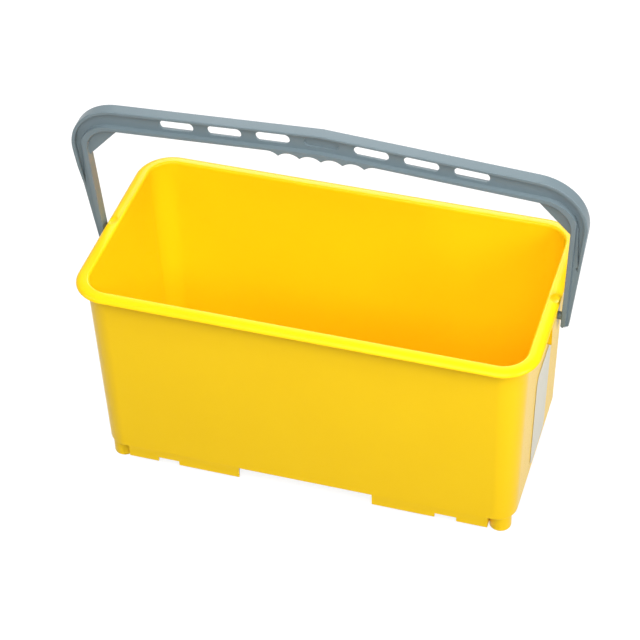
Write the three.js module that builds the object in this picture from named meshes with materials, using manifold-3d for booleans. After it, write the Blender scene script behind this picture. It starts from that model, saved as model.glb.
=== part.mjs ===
// A rectangular cleaning bucket: one moulded tub, one moulded bail handle that snaps into
// its ends, and a label on one end wall. Millimetres, +Z up, origin on the floor under the
// middle of the tub. X runs along the tub, -Y is its front.

import * as THREE from "three";
import { mergeVertices } from "three/addons/utils/BufferGeometryUtils.js";
import Module from "manifold-3d";

const wasm = await Module();
wasm.setup();

// Tub: the rim and the wall
const RIM_LENGTH = 520;
const RIM_WIDTH = 265;
const RIM_HEIGHT = 261;
const RIM_CORNER_RADIUS = 42;
const LIP_OVERHANG = 12;
const LIP_DROP = 5.5;
const LIP_ROLL = 9;
const LIP_THICKNESS = 3;
const LIP_INNER_ROUND = 3;
const WALL_THICKNESS = 3;
const WALL_DRAFT = THREE.MathUtils.degToRad(1.4);

// Tub: the floor and what stands under it
const FLOOR_UNDERSIDE = 21.5;
const FLOOR_THICKNESS = 3;
const FLOOR_FILLET = 10;
const SKIRT_THICKNESS = 2.6;
const SKIRT_STEP = 0.3;
const BASE_EDGE_HEIGHT = 1.6;
const SKIRT_LOW_EDGE = 6;
const MIDDLE_NOTCH_HALF_WIDTH = 79;
const SMALL_NOTCH_START = 152.3;
const SMALL_NOTCH_WIDTH = 25.1;
const SMALL_NOTCH_HEIGHT = 6.1;
const CORNER_TAB_END = 28.4;
const FOOT_RADIUS = 12.4;
const FOOT_WALL = 3;
const FOOT_EDGE_ROUND = 1.6;
const FOOT_INSET_X = 4.4;
const FOOT_INSET_Y = 3.5;
const FLOOR_RIB_THICKNESS = 2.2;
const FLOOR_RIB_DEPTH = 5;
const FLOOR_RIB_PITCH_X = 104;
const FLOOR_RIB_PITCH_Y = 76;
const FLOOR_RIB_SETBACK = 9;

// Tub: the housings that hold the handle's pegs
const PIVOT_BELOW_RIM = 23.5;
const HOUSING_HALF_WIDTH = 28;
const HOUSING_DEPTH = 23;
const HOUSING_SETBACK = 2;
const HOUSING_WALL = 3;
const HOUSING_CORNER = 6;
const DIMPLE_RADIUS = 18;
const DIMPLE_DEPTH = 2.4;
const DIMPLE_INSET = 2.5;

// Handle: the section, the bar and the arms, measured in the handle's own plane
const HANDLE_DEPTH = 13.5;
const FLANGE_THICKNESS = 3;
const WEB_THICKNESS = 2.6;
const HANDLE_EDGE_ROUND = 1.1;
const BAR_TOP = 204.6;
const BAR_HEIGHT = 28;
const BAR_CROWN = THREE.MathUtils.degToRad(3.32);
const ARM_GAP = 4.6;
const ARM_WIDTH = 9.3;
const ARM_BELOW_PIVOT = 12.2;
const ARM_OUTER_SPLAY = THREE.MathUtils.degToRad(6.1);
const ARM_INNER_SPLAY = THREE.MathUtils.degToRad(2.35);
const ARM_CHANNEL_END = 78;
const ARM_STRIP_WIDTH = 5.5;
const ARM_RECESS = 3.2;
const ARM_FADE_LENGTH = 30;
const ARM_END_NOTCH = 2.6;
const BEND_OUTER_RADIUS = 58;
const BEND_INNER_RADIUS = 32;
const BEND_FLANGE_THICKNESS = 4.2;
const BEND_WEB_REACH = 40;
const BEND_WEB_THICKNESS = 3.4;
const HANDLE_LEAN = THREE.MathUtils.degToRad(3.4);

// Handle: slots and finger grip
const SLOT_LENGTH = 38;
const SLOT_HEIGHT = 12;
const SLOT_PITCH = 53.9;
const SLOTS_EACH_SIDE = 3;
const BLIND_SLOT_DEPTH = 1.2;
const FINGER_PITCH = 23.6;
const FINGER_COUNT = 4;
const FINGER_DEPTH = 5.2;

// Handle: the snap pegs
const PEG_RADIUS = 4.6;
const PEG_CLEARANCE = 0.3;
const PEG_HEAD_GROWTH = 1.6;
const PEG_HEAD_LENGTH = 4.6;
const PEG_SLIT = 1.8;

// Label on the right-hand end wall
const LABEL_WIDTH = 70;
const LABEL_HEIGHT = 138;
const LABEL_CORNER = 12;
const LABEL_THICKNESS = 0.5;
const LABEL_BOTTOM = 32;
const LABEL_GAP = 0.3;

// How far a cutting tool runs past what it cuts, and a joined piece into what carries it
const OVERRUN = 2;
const BITE = 1;
const WELD_DISTANCE = 0.0001;
const PLAN_CORNER_STEPS = 8;
const ROUND_STEPS = 6;

const COLOURS = { tub: 0xfbd00a, handle: 0x77878d, label: 0xf1f0ea };

// Sizes that follow from the ones above
const halfRimLength = RIM_LENGTH / 2;
const halfRimWidth = RIM_WIDTH / 2;
const lipUnderside = RIM_HEIGHT - LIP_THICKNESS;
const pivotHeight = RIM_HEIGHT - PIVOT_BELOW_RIM;
const housingFace = halfRimLength - HOUSING_SETBACK;
const armInnerFace = housingFace + ARM_GAP;
const holeRadius = PEG_RADIUS + PEG_CLEARANCE;

// How far the outside of the wall lies inside the rim's edge at a height, as a negative outset.
function wallOutset(height) {
  return -LIP_OVERHANG - (lipUnderside - height) * Math.tan(WALL_DRAFT);
}

// A closed mesh as a solid that can be joined and cut.
function solid(geometry) {
  const bare = geometry.clone();
  bare.deleteAttribute("normal");
  bare.deleteAttribute("uv");
  const merged = mergeVertices(bare, WELD_DISTANCE);
  return new wasm.Manifold(
    new wasm.Mesh({
      numProp: 3,
      vertProperties: merged.attributes.position.array,
      triVerts: new Uint32Array(merged.index.array),
    }),
  );
}

// A solid as a named mesh with its own material.
function namedMesh(name, body, material) {
  const raw = body.getMesh();
  const geometry = new THREE.BufferGeometry();
  geometry.setAttribute("position", new THREE.BufferAttribute(raw.vertProperties, 3));
  geometry.setIndex(new THREE.BufferAttribute(raw.triVerts, 1));
  geometry.computeVertexNormals();
  const mesh = new THREE.Mesh(geometry, material);
  mesh.name = name;
  return mesh;
}

// A box given by its lowest and highest corner.
function block(low, high) {
  const geometry = new THREE.BoxGeometry(high[0] - low[0], high[1] - low[1], high[2] - low[2]);
  geometry.translate((low[0] + high[0]) / 2, (low[1] + high[1]) / 2, (low[2] + high[2]) / 2);
  return solid(geometry);
}

// An outline through corners [x, y, radius], each rounded by an arc that is tangent to both sides.
function roundedOutline(corners) {
  const shape = new THREE.Shape();
  corners.forEach(([x, y, radius], index) => {
    const here = new THREE.Vector2(x, y);
    const before = corners[(index + corners.length - 1) % corners.length];
    const after = corners[(index + 1) % corners.length];
    const back = new THREE.Vector2(before[0], before[1]).sub(here).normalize();
    const ahead = new THREE.Vector2(after[0], after[1]).sub(here).normalize();
    if (!radius) {
      if (index) shape.lineTo(x, y);
      else shape.moveTo(x, y);
      return;
    }
    const half = Math.acos(THREE.MathUtils.clamp(back.dot(ahead), -1, 1)) / 2;
    const start = here.clone().addScaledVector(back, radius / Math.tan(half));
    const end = here.clone().addScaledVector(ahead, radius / Math.tan(half));
    const middle = back.clone().add(ahead).normalize();
    const centre = here.clone().addScaledVector(middle, radius / Math.sin(half));
    const from = Math.atan2(start.y - centre.y, start.x - centre.x);
    const to = Math.atan2(end.y - centre.y, end.x - centre.x);
    if (index) shape.lineTo(start.x, start.y);
    else shape.moveTo(start.x, start.y);
    shape.absarc(centre.x, centre.y, radius, from, to, back.cross(ahead) > 0);
  });
  shape.closePath();
  return shape;
}

// An outline pulled up to a depth, about the outline's own plane.
function slab(shape, depth, round = 0) {
  const geometry = new THREE.ExtrudeGeometry(shape, {
    depth: depth - 2 * round,
    curveSegments: ROUND_STEPS,
    bevelEnabled: round > 0,
    bevelThickness: round,
    bevelSize: round,
    bevelOffset: -round,
    bevelSegments: 2,
  });
  geometry.translate(0, 0, round - depth / 2);
  return geometry;
}

// Points of an elliptical arc in a profile, by [centre], [radii] and angles in degrees.
function profileArc(centre, radii, from, to, steps = ROUND_STEPS) {
  return Array.from({ length: steps + 1 }, (_, step) => {
    const angle = THREE.MathUtils.degToRad(from + ((to - from) * step) / steps);
    return [centre[0] + radii[0] * Math.cos(angle), centre[1] + radii[1] * Math.sin(angle)];
  });
}

// One turn of the rim's plan outline, moved in or out by an outset, at a height.
function planRing(outset, height) {
  const radius = RIM_CORNER_RADIUS + outset;
  const centreX = halfRimLength - RIM_CORNER_RADIUS;
  const centreY = halfRimWidth - RIM_CORNER_RADIUS;
  const ring = [];
  for (let corner = 0; corner < 4; corner += 1) {
    const signX = corner === 0 || corner === 3 ? 1 : -1;
    const signY = corner < 2 ? 1 : -1;
    for (let step = 0; step <= PLAN_CORNER_STEPS; step += 1) {
      const angle = ((corner + step / PLAN_CORNER_STEPS) * Math.PI) / 2;
      ring.push([
        signX * centreX + radius * Math.cos(angle),
        signY * centreY + radius * Math.sin(angle),
        height,
      ]);
    }
  }
  return ring;
}

// A solid swept round the plan outline: rings from the underside, over the lip, to the inner floor.
function sweptTub(profile) {
  const rings = profile.map(([outset, height]) => planRing(outset, height));
  const count = rings[0].length;
  const positions = rings.flat(2);
  const faces = [];
  for (let ring = 0; ring + 1 < rings.length; ring += 1) {
    for (let place = 0; place < count; place += 1) {
      const a = ring * count + place;
      const b = ring * count + ((place + 1) % count);
      faces.push(a, b, b + count, a, b + count, a + count);
    }
  }
  const last = (rings.length - 1) * count;
  for (let place = 1; place + 1 < count; place += 1) {
    faces.push(0, place + 1, place);
    faces.push(last, last + place, last + place + 1);
  }
  const geometry = new THREE.BufferGeometry();
  geometry.setAttribute("position", new THREE.Float32BufferAttribute(positions, 3));
  geometry.setIndex(faces);
  return solid(geometry);
}

// The tub's section, from the floor's underside round the outside and the lip to the inner floor.
function tubProfile() {
  const floorTop = FLOOR_UNDERSIDE + FLOOR_THICKNESS;
  const skirtOutside = (height) => wallOutset(height) - SKIRT_STEP;
  const lipBottom = RIM_HEIGHT - LIP_DROP;
  const inside = (height) => wallOutset(height) - WALL_THICKNESS;
  const stepHeight = FLOOR_UNDERSIDE + BASE_EDGE_HEIGHT;
  const filletHeight = floorTop + FLOOR_FILLET;
  return [
    [skirtOutside(FLOOR_UNDERSIDE) - SKIRT_THICKNESS, FLOOR_UNDERSIDE],
    [skirtOutside(SKIRT_LOW_EDGE) - SKIRT_THICKNESS, SKIRT_LOW_EDGE],
    [skirtOutside(SKIRT_LOW_EDGE), SKIRT_LOW_EDGE],
    [skirtOutside(FLOOR_UNDERSIDE), FLOOR_UNDERSIDE],
    [wallOutset(stepHeight), stepHeight],
    [wallOutset(lipUnderside - LIP_THICKNESS / 2), lipUnderside - LIP_THICKNESS / 2],
    [-LIP_OVERHANG + LIP_THICKNESS / 2, lipUnderside],
    ...profileArc(
      [-LIP_ROLL, lipBottom],
      [LIP_ROLL - LIP_THICKNESS, LIP_DROP - LIP_THICKNESS],
      90,
      0,
    ),
    ...profileArc([-LIP_ROLL, lipBottom], [LIP_ROLL, LIP_DROP], 0, 90),
    ...profileArc(
      [inside(RIM_HEIGHT) + LIP_INNER_ROUND, RIM_HEIGHT - LIP_INNER_ROUND],
      [LIP_INNER_ROUND, LIP_INNER_ROUND],
      90,
      180,
    ),
    ...profileArc(
      [inside(filletHeight) - FLOOR_FILLET, filletHeight],
      [FLOOR_FILLET, FLOOR_FILLET],
      0,
      -90,
    ),
  ];
}

// Both signs of a size, as a short list to loop over.
const bothSides = [-1, 1];

// The notches in the long skirts, and the higher edge round the ends and corners.
function skirtCuts() {
  const baseHalfLength = halfRimLength + wallOutset(0);
  const innerY = halfRimWidth + wallOutset(0) - SKIRT_STEP - SKIRT_THICKNESS - OVERRUN;
  const tabEnd = baseHalfLength - CORNER_TAB_END;
  const cuts = [];
  for (const side of bothSides) {
    const nearY = Math.min(side * innerY, side * halfRimWidth);
    const farY = Math.max(side * innerY, side * halfRimWidth);
    cuts.push(
      block(
        [-MIDDLE_NOTCH_HALF_WIDTH, nearY, 0],
        [MIDDLE_NOTCH_HALF_WIDTH, farY, FLOOR_UNDERSIDE],
      ),
    );
    for (const end of bothSides) {
      const start = end * SMALL_NOTCH_START;
      const stop = end * (SMALL_NOTCH_START + SMALL_NOTCH_WIDTH);
      cuts.push(
        block(
          [Math.min(start, stop), nearY, 0],
          [Math.max(start, stop), farY, SKIRT_LOW_EDGE + SMALL_NOTCH_HEIGHT],
        ),
      );
    }
    const endStart = side * tabEnd;
    const endStop = side * halfRimLength;
    cuts.push(
      block(
        [Math.min(endStart, endStop), -halfRimWidth, 0],
        [Math.max(endStart, endStop), halfRimWidth, FLOOR_UNDERSIDE],
      ),
    );
  }
  return cuts;
}

// A round tube that stands under each corner, open at the bottom, with a softened outer edge.
function foot(centreX, centreY) {
  const top = FLOOR_UNDERSIDE + BITE;
  const inner = FOOT_RADIUS - FOOT_WALL;
  const profile = [
    [inner, 0],
    ...profileArc(
      [FOOT_RADIUS - FOOT_EDGE_ROUND, FOOT_EDGE_ROUND],
      [FOOT_EDGE_ROUND, FOOT_EDGE_ROUND],
      -90,
      0,
      3,
    ),
    [FOOT_RADIUS, top],
    [inner, top],
    [inner, 0],
  ];
  const geometry = new THREE.LatheGeometry(
    profile.map(([radius, height]) => new THREE.Vector2(radius, height)),
    ROUND_STEPS * 5,
  );
  geometry.rotateX(Math.PI / 2);
  geometry.translate(centreX, centreY, 0);
  return solid(geometry);
}

// The bore inside a foot, which also clears the skirt where it crosses the foot.
function footBore(centreX, centreY) {
  const height = FLOOR_UNDERSIDE + OVERRUN;
  const geometry = new THREE.CylinderGeometry(
    FOOT_RADIUS - FOOT_WALL,
    FOOT_RADIUS - FOOT_WALL,
    height,
    ROUND_STEPS * 5,
  );
  geometry.rotateX(Math.PI / 2);
  geometry.translate(centreX, centreY, FLOOR_UNDERSIDE - height / 2);
  return solid(geometry);
}

// The short wall that turns inwards from a corner tab's end and runs into the foot beside it.
function tabReturn(sideX, sideY, footY) {
  const endX = halfRimLength + wallOutset(0) - CORNER_TAB_END;
  const outerY = halfRimWidth + wallOutset(SKIRT_LOW_EDGE) - SKIRT_STEP - BITE;
  const body = block(
    [endX - SKIRT_THICKNESS, footY, SKIRT_LOW_EDGE],
    [endX, outerY, FLOOR_UNDERSIDE + BITE],
  );
  const mirrored = sideX > 0 ? body : body.mirror([1, 0, 0]);
  return sideY > 0 ? mirrored : mirrored.mirror([0, 1, 0]);
}

// Shallow stiffening ribs under the floor.
function floorRibs() {
  const reachX = halfRimLength + wallOutset(FLOOR_UNDERSIDE) - FLOOR_RIB_SETBACK;
  const reachY = halfRimWidth + wallOutset(FLOOR_UNDERSIDE) - FLOOR_RIB_SETBACK;
  const low = FLOOR_UNDERSIDE - FLOOR_RIB_DEPTH;
  const high = FLOOR_UNDERSIDE + BITE;
  const half = FLOOR_RIB_THICKNESS / 2;
  const ribs = [];
  for (const side of bothSides) {
    const y = (side * FLOOR_RIB_PITCH_Y) / 2;
    ribs.push(block([-reachX, y - half, low], [reachX, y + half, high]));
  }
  for (let rib = -1.5; rib <= 1.5; rib += 1) {
    const x = rib * FLOOR_RIB_PITCH_X;
    ribs.push(block([x - half, -reachY, low], [x + half, reachY, high]));
  }
  return ribs;
}

// The pocket under the lip at one end: an outer plate with the peg's hole, and two side walls.
function pivotHousing(side) {
  const bottom = pivotHeight - HOUSING_DEPTH;
  const top = lipUnderside;
  const plate = slab(
    roundedOutline([
      [-HOUSING_HALF_WIDTH, top, 0],
      [-HOUSING_HALF_WIDTH, bottom, HOUSING_CORNER],
      [HOUSING_HALF_WIDTH, bottom, HOUSING_CORNER],
      [HOUSING_HALF_WIDTH, top, 0],
    ]),
    housingFace - halfRimLength - wallOutset(pivotHeight) + BITE,
  );
  const reach = halfRimLength + wallOutset(bottom) - BITE;
  plate.rotateX(Math.PI / 2);
  plate.rotateZ(Math.PI / 2);
  plate.translate((reach + housingFace) / 2, 0, 0);
  const pocket = block(
    [halfRimLength + wallOutset(bottom) - BITE / 2, -HOUSING_HALF_WIDTH + HOUSING_WALL, bottom - OVERRUN],
    [housingFace - HOUSING_WALL, HOUSING_HALF_WIDTH - HOUSING_WALL, top - HOUSING_WALL],
  );
  const body = solid(plate).subtract(pocket);
  return side > 0 ? body : body.mirror([1, 0, 0]);
}

// The peg's hole through a housing's outer plate.
function pegHole(side) {
  const geometry = new THREE.CylinderGeometry(
    holeRadius,
    holeRadius,
    HOUSING_WALL + 2 * OVERRUN,
    ROUND_STEPS * 5,
  );
  geometry.rotateZ(Math.PI / 2);
  geometry.translate(side * (housingFace - HOUSING_WALL / 2), 0, pivotHeight);
  return solid(geometry);
}

// The shallow dimple in the lip over each peg.
function lipDimple(side) {
  const geometry = new THREE.SphereGeometry(DIMPLE_RADIUS, ROUND_STEPS * 4, ROUND_STEPS * 2);
  geometry.translate(
    side * (halfRimLength - DIMPLE_INSET),
    0,
    RIM_HEIGHT + DIMPLE_RADIUS - DIMPLE_DEPTH,
  );
  return solid(geometry);
}

function makeTub() {
  const baseHalfLength = halfRimLength + wallOutset(0);
  const baseHalfWidth = halfRimWidth + wallOutset(0);
  const footX = baseHalfLength - FOOT_INSET_X - FOOT_RADIUS;
  const footY = baseHalfWidth - FOOT_INSET_Y - FOOT_RADIUS;
  let body = sweptTub(tubProfile());
  for (const cut of skirtCuts()) body = body.subtract(cut);
  for (const rib of floorRibs()) body = body.add(rib);
  for (const sideX of bothSides) {
    for (const sideY of bothSides) {
      body = body.add(foot(sideX * footX, sideY * footY));
      body = body.add(tabReturn(sideX, sideY, footY));
      body = body.subtract(footBore(sideX * footX, sideY * footY));
    }
  }
  for (const side of bothSides) {
    body = body.add(pivotHousing(side));
    body = body.subtract(pegHole(side));
    body = body.subtract(lipDimple(side));
  }
  return body;
}

// The handle's two straight edges on one side, in its own plane: x along the pegs, r up the arms.
const topEdge = (x, inset) => BAR_TOP - inset - Math.tan(BAR_CROWN) * x;
const bottomEdge = (x, inset) => BAR_TOP - BAR_HEIGHT + inset - Math.tan(BAR_CROWN) * x;
const outerEdge = (r, inset) => armInnerFace + ARM_WIDTH - inset + Math.tan(ARM_OUTER_SPLAY) * r;
const innerEdge = (r, inset) => armInnerFace + inset + Math.tan(ARM_INNER_SPLAY) * r;

// Where a bar edge meets an arm edge. Both are straight, so one substitution finds it.
function bendCorner(barEdge, armEdge, inset) {
  const slope = armEdge(1, inset) - armEdge(0, inset);
  const crown = barEdge(0, inset) - barEdge(1, inset);
  const r = (barEdge(0, inset) - crown * armEdge(0, inset)) / (1 + crown * slope);
  return [armEdge(r, inset), r];
}

// Mirrors the right-hand half of an outline, given from the bar's top to its underside.
function mirroredOutline(rightHalf) {
  const leftHalf = rightHalf.map(([x, r, radius]) => [-x, r, radius]).reverse();
  return roundedOutline([
    [0, topEdge(0, rightHalf.inset), 0],
    ...rightHalf,
    [0, bottomEdge(0, rightHalf.inset), 0],
    ...leftHalf,
  ]);
}

// The whole handle seen square on: bar, bends, arms and their two-lobed ends.
function handleOutline() {
  const low = -ARM_BELOW_PIVOT;
  const middle = (outerEdge(low, 0) + innerEdge(low, 0)) / 2;
  const lobe = ARM_WIDTH / 4;
  const right = [
    [...bendCorner(topEdge, outerEdge, 0), BEND_OUTER_RADIUS],
    [outerEdge(low, 0), low, lobe * 0.9],
    [middle + lobe / 4, low, lobe * 0.7],
    [middle, low + ARM_END_NOTCH, 0],
    [middle - lobe / 4, low, lobe * 0.7],
    [innerEdge(low, 0), low, lobe * 0.9],
    [...bendCorner(bottomEdge, innerEdge, 0), BEND_INNER_RADIUS],
  ];
  right.inset = 0;
  return mirroredOutline(right);
}

// The channel between the flanges. They thicken towards the bends, and down each arm the channel
// narrows to a point beside the outer flange.
function channelOutline() {
  const thick = BEND_FLANGE_THICKNESS;
  const right = [
    [...bendCorner(topEdge, outerEdge, thick), BEND_OUTER_RADIUS - thick],
    [outerEdge(ARM_CHANNEL_END, FLANGE_THICKNESS), ARM_CHANNEL_END, 0],
    [...bendCorner(bottomEdge, innerEdge, ARM_STRIP_WIDTH), BEND_INNER_RADIUS + ARM_STRIP_WIDTH],
  ];
  right.inset = FLANGE_THICKNESS;
  return mirroredOutline(right);
}

// A stadium-shaped slot, turned to lie along the crowned bar.
function slotOutline(index) {
  const centreX = index * SLOT_PITCH;
  const centreR = (topEdge(Math.abs(centreX), 0) + bottomEdge(Math.abs(centreX), 0)) / 2;
  const tilt = -Math.sign(index) * BAR_CROWN;
  const reach = (SLOT_LENGTH - SLOT_HEIGHT) / 2;
  const shape = new THREE.Shape();
  const right = [centreX + reach * Math.cos(tilt), centreR + reach * Math.sin(tilt)];
  const left = [centreX - reach * Math.cos(tilt), centreR - reach * Math.sin(tilt)];
  shape.absarc(...right, SLOT_HEIGHT / 2, tilt - Math.PI / 2, tilt + Math.PI / 2, false);
  shape.absarc(...left, SLOT_HEIGHT / 2, tilt + Math.PI / 2, tilt + (3 * Math.PI) / 2, false);
  shape.closePath();
  return shape;
}

// The block under the middle of the bar, scooped for the fingers.
function fingerGrip() {
  const radius = (FINGER_PITCH ** 2 / 4 + FINGER_DEPTH ** 2) / (2 * FINGER_DEPTH);
  const halfLength = (FINGER_PITCH * (FINGER_COUNT + 1)) / 2;
  const scoopTop = bottomEdge(halfLength, 0);
  const shape = new THREE.Shape();
  shape.moveTo(-halfLength, bottomEdge(halfLength, FLANGE_THICKNESS / 2));
  shape.lineTo(-halfLength, scoopTop);
  const half = Math.asin(FINGER_PITCH / 2 / radius);
  for (let finger = 0; finger <= FINGER_COUNT + 1; finger += 1) {
    const centreX = -halfLength + finger * FINGER_PITCH;
    const from = finger === 0 ? 0 : half;
    const to = finger === FINGER_COUNT + 1 ? 0 : -half;
    shape.absarc(centreX, scoopTop - radius, radius, Math.PI / 2 + from, Math.PI / 2 + to, true);
  }
  shape.lineTo(halfLength, bottomEdge(halfLength, FLANGE_THICKNESS / 2));
  shape.lineTo(0, bottomEdge(0, FLANGE_THICKNESS / 2));
  shape.closePath();
  return shape;
}

// The flat web that fills the inside of a bend, cut off along a straight edge.
function bendWebOutline(side) {
  const [cornerX, cornerR] = bendCorner(bottomEdge, innerEdge, 0);
  const alongBar = [cornerX - BEND_WEB_REACH, bottomEdge(cornerX - BEND_WEB_REACH, 0)];
  const downArm = [innerEdge(cornerR - BEND_WEB_REACH, 0), cornerR - BEND_WEB_REACH];
  const bite = FLANGE_THICKNESS / 2;
  return roundedOutline(
    [
      [alongBar[0], alongBar[1] + bite, 0],
      [alongBar[0], alongBar[1], 0],
      [downArm[0], downArm[1], 0],
      [downArm[0] + bite, downArm[1], 0],
      [cornerX + bite, cornerR + bite, BEND_INNER_RADIUS - bite],
    ].map(([x, r, radius]) => [side * x, r, radius]),
  );
}

// A snap peg on the inside of an arm: a plain journal, then a slit head that springs through the hole.
function snapPeg(side) {
  const headStart = housingFace - HOUSING_WALL - PEG_CLEARANCE;
  const headRadius = PEG_RADIUS + PEG_HEAD_GROWTH;
  const profile = [
    [0, armInnerFace + FLANGE_THICKNESS / 2],
    [PEG_RADIUS, armInnerFace + FLANGE_THICKNESS / 2],
    [PEG_RADIUS, headStart],
    [headRadius, headStart - PEG_CLEARANCE],
    [headRadius, headStart - PEG_HEAD_GROWTH],
    [PEG_RADIUS, headStart - PEG_HEAD_LENGTH],
    [0, headStart - PEG_HEAD_LENGTH],
  ];
  const geometry = new THREE.LatheGeometry(
    profile.map(([radius, along]) => new THREE.Vector2(radius, along)).reverse(),
    ROUND_STEPS * 5,
  );
  geometry.rotateZ(-Math.PI / 2);
  const tip = headStart - PEG_HEAD_LENGTH - OVERRUN;
  const slit = block(
    [tip, -headRadius - OVERRUN, -PEG_SLIT / 2],
    [headStart + HOUSING_WALL, headRadius + OVERRUN, PEG_SLIT / 2],
  );
  const body = solid(geometry).subtract(slit);
  return side > 0 ? body : body.mirror([1, 0, 0]);
}

// A step down into an arm beside its proud strip: level up to a height, then rising to the surface.
// It is drawn in the plane of the arm's length and depth, pulled across the arm and leant with it.
function armStep(width, levelEnd, rise) {
  const low = -ARM_BELOW_PIVOT - OVERRUN;
  const shape = new THREE.Shape();
  shape.moveTo(low, -OVERRUN);
  shape.lineTo(levelEnd + rise * (1 + OVERRUN / ARM_RECESS), -OVERRUN);
  shape.lineTo(levelEnd, ARM_RECESS);
  shape.lineTo(low, ARM_RECESS);
  shape.closePath();
  const geometry = slab(shape, width);
  const alongArm = new THREE.Vector3(0, 1, 0);
  const intoDepth = new THREE.Vector3(0, 0, -1);
  const across = new THREE.Vector3(-1, 0, 0);
  geometry.applyMatrix4(new THREE.Matrix4().makeBasis(alongArm, intoDepth, across));
  geometry.translate(width / 2, 0, HANDLE_DEPTH / 2);
  geometry.rotateZ(-ARM_INNER_SPLAY);
  geometry.translate(armInnerFace + ARM_STRIP_WIDTH, 0, 0);
  return solid(geometry);
}

// Both steps of an arm: the ground beside the narrowing channel, and the outer flange's fade.
function armSteps() {
  const bendStart = bendCorner(bottomEdge, innerEdge, 0)[1] - BEND_INNER_RADIUS / 2;
  const end = ARM_CHANNEL_END;
  const groundWidth = outerEdge(end, FLANGE_THICKNESS) - innerEdge(end, ARM_STRIP_WIDTH) + BITE / 2;
  return [armStep(groundWidth, bendStart, 0), armStep(2 * ARM_WIDTH, end, ARM_FADE_LENGTH)];
}

// The handle in its own plane, with its depth along Z.
function makeHandle() {
  let body = solid(slab(handleOutline(), HANDLE_DEPTH, HANDLE_EDGE_ROUND));
  const channelDepth = (HANDLE_DEPTH - WEB_THICKNESS) / 2;
  for (const face of bothSides) {
    const channel = slab(channelOutline(), channelDepth + OVERRUN);
    channel.translate(0, 0, (face * (WEB_THICKNESS + channelDepth + OVERRUN)) / 2);
    body = body.subtract(solid(channel));
    for (const side of bothSides) {
      for (const recess of armSteps()) {
        const turned = side > 0 ? recess : recess.mirror([1, 0, 0]);
        body = body.subtract(face > 0 ? turned : turned.mirror([0, 0, 1]));
      }
    }
  }
  body = body.add(solid(slab(fingerGrip(), HANDLE_DEPTH)));
  for (const side of bothSides) body = body.add(solid(slab(bendWebOutline(side), BEND_WEB_THICKNESS)));
  for (let index = -SLOTS_EACH_SIDE; index <= SLOTS_EACH_SIDE; index += 1) {
    const slot = slab(slotOutline(index), WEB_THICKNESS + OVERRUN);
    if (index === 0) {
      slot.translate(0, 0, WEB_THICKNESS - BLIND_SLOT_DEPTH + OVERRUN / 2);
    }
    body = body.subtract(solid(slot));
  }
  for (const side of bothSides) body = body.add(snapPeg(side));
  return body;
}

// The label lies on the drafted end wall, so it leans as the wall does.
function makeLabel() {
  const halfWidth = LABEL_WIDTH / 2;
  const shape = roundedOutline([
    [-halfWidth, 0, LABEL_CORNER],
    [halfWidth, 0, LABEL_CORNER],
    [halfWidth, LABEL_HEIGHT, LABEL_CORNER],
    [-halfWidth, LABEL_HEIGHT, LABEL_CORNER],
  ]);
  const geometry = slab(shape, LABEL_THICKNESS);
  geometry.rotateX(Math.PI / 2);
  geometry.rotateZ(Math.PI / 2);
  return solid(geometry);
}

const tubMaterial = new THREE.MeshStandardMaterial({
  color: COLOURS.tub,
  roughness: 0.32,
  metalness: 0,
});
const handleMaterial = new THREE.MeshStandardMaterial({
  color: COLOURS.handle,
  roughness: 0.45,
  metalness: 0,
});
const labelMaterial = new THREE.MeshStandardMaterial({
  color: COLOURS.label,
  roughness: 0.4,
  metalness: 0,
});

const bucket = new THREE.Group();
bucket.add(namedMesh("tub", makeTub(), tubMaterial));

// The group stands at the pegs, turned up from the handle's drawing plane and leaning to the front.
const bail = new THREE.Group();
bail.position.set(0, 0, pivotHeight);
bail.rotation.x = Math.PI / 2 + HANDLE_LEAN;
bail.add(namedMesh("bail_handle", makeHandle(), handleMaterial));
bucket.add(bail);

const label = namedMesh("end_label", makeLabel(), labelMaterial);
label.position.set(
  halfRimLength + wallOutset(LABEL_BOTTOM) + LABEL_GAP + LABEL_THICKNESS / 2,
  0,
  LABEL_BOTTOM,
);
label.rotation.y = WALL_DRAFT;
bucket.add(label);

export default bucket;
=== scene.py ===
# %% [markdown]
# Dressing a cleaning bucket
# The real object is a rectangular bucket for washing windows: a yellow tub moulded in one shot,
# a grey bail handle that snaps into its two ends, and a thin label. The CAD model gives every
# size and place. This lesson models both mouldings again with the soft edges that a mould leaves,
# mixes the plastics, and sets up a plain studio like the one in the photograph.

import math

import bmesh
import bpy
from mathutils import Matrix, Vector


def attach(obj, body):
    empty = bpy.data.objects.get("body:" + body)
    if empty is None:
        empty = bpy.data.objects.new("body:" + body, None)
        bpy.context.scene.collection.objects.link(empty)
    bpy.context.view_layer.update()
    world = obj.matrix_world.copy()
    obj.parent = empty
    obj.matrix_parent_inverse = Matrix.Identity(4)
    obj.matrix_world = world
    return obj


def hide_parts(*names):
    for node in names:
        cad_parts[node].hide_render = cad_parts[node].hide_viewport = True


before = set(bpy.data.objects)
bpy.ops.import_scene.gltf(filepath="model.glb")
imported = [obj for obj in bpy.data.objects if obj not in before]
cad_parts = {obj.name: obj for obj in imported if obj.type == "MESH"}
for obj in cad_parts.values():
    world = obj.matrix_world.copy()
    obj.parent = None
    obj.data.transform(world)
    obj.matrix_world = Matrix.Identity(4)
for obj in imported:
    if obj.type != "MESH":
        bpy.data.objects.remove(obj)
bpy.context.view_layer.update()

MM = 0.001

# %% [markdown]
# Camera
# The photograph was taken with a long lens from the front, well above the rim and a little to
# the right, with the camera held slightly off level. Those angles were found by matching straight
# edges of the tub and the handle with the picture, so they are numbers here. The camera is placed
# by its aim point, its distance and its three angles, as one would do with a tripod.

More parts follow.
